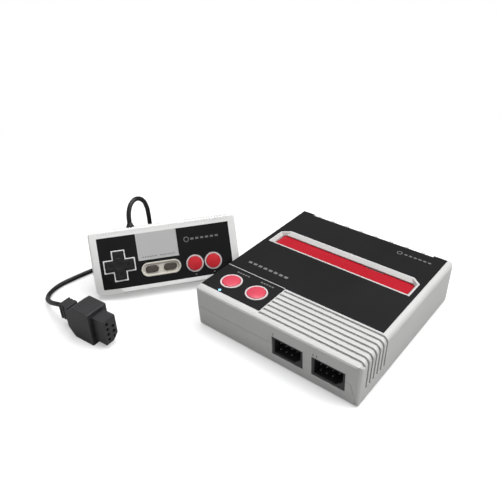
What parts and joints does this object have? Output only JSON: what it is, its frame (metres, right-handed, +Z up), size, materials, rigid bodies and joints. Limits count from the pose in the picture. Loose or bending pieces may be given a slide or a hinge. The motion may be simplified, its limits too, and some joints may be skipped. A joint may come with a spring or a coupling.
{
  "type": "game console with controller",
  "caption": "Flat cartridge game console with a dust flap, two front sockets and two round buttons, beside a leaning wired controller whose lead ends in a keyed plug.",
  "frame": {"origin": "on the surface it stands on, at the middle of the footprint of the console and controller together, without the lead and plug", "axes": "+X to the right along the console's front, +Y from its front to its back, +Z up"},
  "size_m": [0.282, 0.2278, 0.0724],
  "materials": {
    "case_grey": "fine satin",
    "label_black": "satin film",
    "flap_red": "gloss",
    "button_red": "satin",
    "steel": "bright",
    "component_black": "matte",
    "board_green": "solder mask",
    "lens_blue": "clear blue",
    "led_clear": "clear",
    "port_black": "satin",
    "cable_grey": "matte",
    "contact_gold": "plated",
    "can_blue": "sleeve",
    "jack_yellow": "moulded",
    "foot_rubber": "matte",
    "panel_grey": "satin film",
    "insert_grey": "satin",
    "dpad_black": "satin",
    "pad_red": "gloss",
    "key_rubber": "matte",
    "membrane_rubber": "matte",
    "cord_black": "satin",
    "tie_black": "matte",
    "plug_black": "fine grain"
  },
  "bodies": {
    "housing": {"upper_shell": "case_grey", "lower_shell": "case_grey", "top_label": "label_black", "slot_frame": "case_grey", "flap_pin": "steel", "flap_spring": "steel", "power_spring": "steel", "reset_spring": "steel", "button_switches": "component_black", "button_board": "board_green", "led_lens": "lens_blue", "status_led": "led_clear", "port_1": "port_black", "port_2": "port_black", "port_contacts": "steel", "port_board": "board_green", "port_ribbon": "cable_grey", "button_cable": "cable_grey", "main_board": "board_green", "cart_connector": "port_black", "cart_contacts": "contact_gold", "main_chips": "component_black", "capacitors": "can_blue", "jack_housings": "component_black", "jack_shells": "steel", "jack_inserts": "jack_yellow", "power_inlet": "component_black", "case_screws": "steel", "board_screws": "steel", "frame_screws": "steel", "rubber_feet": "foot_rubber", "pad_front_shell": "case_grey", "pad_back_shell": "case_grey", "pad_label": "label_black", "pad_panel": "panel_grey", "pill_insert": "insert_grey", "dpad_membrane": "membrane_rubber", "round_membrane": "membrane_rubber", "pill_membrane": "membrane_rubber", "pad_board": "board_green", "pad_chip": "component_black", "pad_screws": "steel", "pad_grommet": "cord_black", "cord_start": "cord_black", "cord_coil": "cord_black", "cord_end": "cord_black", "cord_tie": "tie_black", "plug_body": "plug_black", "plug_nose": "plug_black", "plug_contacts": "steel"},
    "flap": {"dust_flap": "flap_red"},
    "power_key": {"power_button": "button_red"},
    "reset_key": {"reset_button": "button_red"},
    "dpad_ball": {"dpad_pivot": "steel"},
    "dpad_key": {"dpad": "dpad_black"},
    "a_key": {"button_a": "pad_red"},
    "b_key": {"button_b": "pad_red"},
    "select_key": {"select_button": "key_rubber"},
    "start_key": {"start_button": "key_rubber"}
  },
  "joints": [
    {"name": "flap_hinge", "type": "hinge", "parent": "housing", "child": "flap", "pos_m": [0.0572, 0.0438, 0.0338], "axis": [1, 0, 0], "range_deg": [0, 88], "stiffness_Nm_per_rad": 0.003, "springref_deg": -40.11, "deforming": ["flap_spring"]},
    {"name": "power_press", "type": "slide", "parent": "housing", "child": "power_key", "axis": [0, 0, -1], "range_m": [0, 0.0015], "stiffness_N_per_m": 250, "springref_m": -0.001, "deforming": ["power_spring"]},
    {"name": "reset_press", "type": "slide", "parent": "housing", "child": "reset_key", "axis": [0, 0, -1], "range_m": [0, 0.0015], "stiffness_N_per_m": 250, "springref_m": -0.001, "deforming": ["reset_spring"]},
    {"name": "a_press", "type": "slide", "parent": "housing", "child": "a_key", "axis": [-0.7021, 0.5486, -0.454], "range_m": [0, 0.0011], "stiffness_N_per_m": 300, "springref_m": -0.001, "deforming": ["round_membrane"]},
    {"name": "b_press", "type": "slide", "parent": "housing", "child": "b_key", "axis": [-0.7021, 0.5486, -0.454], "range_m": [0, 0.0011], "stiffness_N_per_m": 300, "springref_m": -0.001, "deforming": ["round_membrane"]},
    {"name": "select_press", "type": "slide", "parent": "housing", "child": "select_key", "axis": [-0.7021, 0.5486, -0.454], "range_m": [0, 0.001], "stiffness_N_per_m": 300, "springref_m": -0.001, "deforming": ["pill_membrane"]},
    {"name": "start_press", "type": "slide", "parent": "housing", "child": "start_key", "axis": [-0.7021, 0.5486, -0.454], "range_m": [0, 0.001], "stiffness_N_per_m": 300, "springref_m": -0.001, "deforming": ["pill_membrane"]},
    {"name": "dpad_left_right", "type": "hinge", "parent": "housing", "child": "dpad_ball", "pos_m": [-0.09857, -0.06978, 0.02684], "axis": [-0.3577, 0.2795, 0.891], "range_deg": [-5, 5], "stiffness_Nm_per_rad": 0.02, "deforming": ["dpad_membrane"]},
    {"name": "dpad_up_down", "type": "hinge", "parent": "dpad_ball", "child": "dpad_key", "pos_m": [-0.09857, -0.06978, 0.02684], "axis": [0.6157, 0.788, 0], "range_deg": [-5, 5], "stiffness_Nm_per_rad": 0.02, "deforming": ["dpad_membrane"]}
  ]
}
